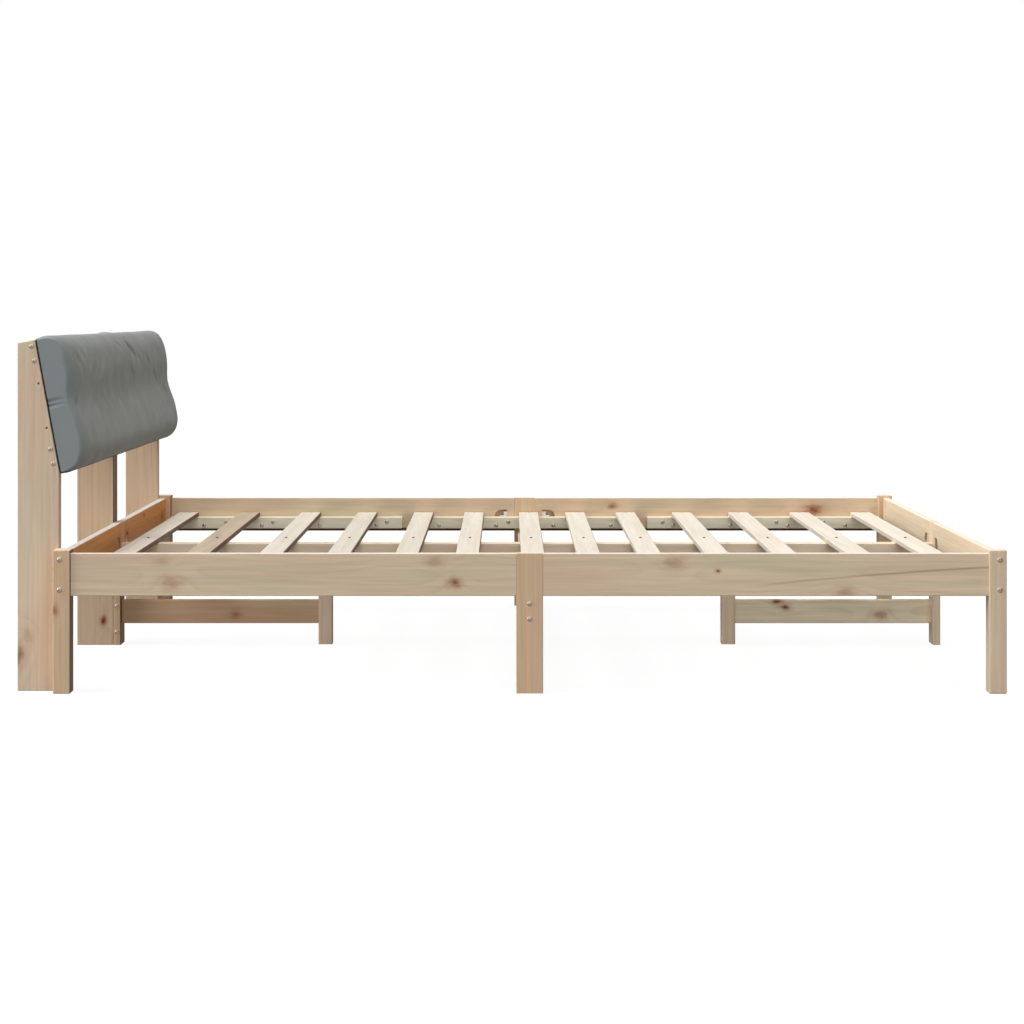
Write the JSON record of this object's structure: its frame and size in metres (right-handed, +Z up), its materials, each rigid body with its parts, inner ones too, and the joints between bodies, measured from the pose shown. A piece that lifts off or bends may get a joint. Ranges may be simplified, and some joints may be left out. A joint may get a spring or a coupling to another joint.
{
  "type": "bed frame",
  "caption": "Pine bed frame with square corner legs, split bolted rails, slatted base on cleats and trestles, and a sloping headboard that carries a long grey cushion.",
  "frame": {"origin": "On the floor, under the middle of the outer box.", "axes": "+X runs from the head to the foot of the bed, +Y to the left side as seen by someone lying on their back with the head at the headboard, +Z up."},
  "size_m": [2.1416, 1.4602, 0.7728],
  "materials": {
    "pine": "bare sanded softwood",
    "pale_pine": "bare sanded softwood, pale",
    "steel": "zinc plated",
    "grey_fabric": "matte woven upholstery"
  },
  "bodies": {
    "root": {"corner_leg_foot_left": "pine", "corner_leg_head_left": "pine", "corner_leg_foot_right": "pine", "corner_leg_head_right": "pine", "side_rail_foot_left": "pine", "side_rail_foot_right": "pine", "side_rail_head_left": "pine", "side_rail_head_right": "pine", "foot_board_left": "pine", "foot_board_right": "pine", "head_board_left": "pine", "head_board_right": "pine", "side_centre_leg_left": "pine", "side_centre_leg_right": "pine", "foot_centre_leg": "pine", "head_centre_leg": "pine", "cross_bearer": "pine", "middle_beam_foot": "pine", "middle_beam_head": "pine", "trestle_post_foot": "pine", "trestle_post_head": "pine", "trestle_stretcher_foot": "pine", "trestle_stretcher_head": "pine", "cleat_middle_left": "pine", "cleat_middle_right": "pine", "cleat_foot_left": "pine", "cleat_foot_right": "pine", "cleat_head_left": "pine", "cleat_head_right": "pine", "upright_outer_left": "pine", "upright_outer_right": "pine", "upright_middle_left": "pine", "upright_middle_right": "pine", "back_board_low_left": "pine", "back_board_low_right": "pine", "back_board_high_left": "pine", "back_board_high_right": "pine", "slat_01": "pale_pine", "slat_02": "pale_pine", "slat_03": "pale_pine", "slat_04": "pale_pine", "slat_05": "pale_pine", "slat_06": "pale_pine", "slat_07": "pale_pine", "slat_08": "pale_pine", "slat_09": "pale_pine", "slat_10": "pale_pine", "slat_11": "pale_pine", "slat_12": "pale_pine", "slat_13": "pale_pine", "leg_bolts": "steel", "barrel_nuts": "steel", "joint_studs": "steel", "clamp_plates": "steel", "stud_nuts": "steel", "cleat_screws": "steel", "slat_screws": "steel", "back_screws": "steel", "frame_screws": "steel", "cushion": "grey_fabric"}
  },
  "joints": []
}
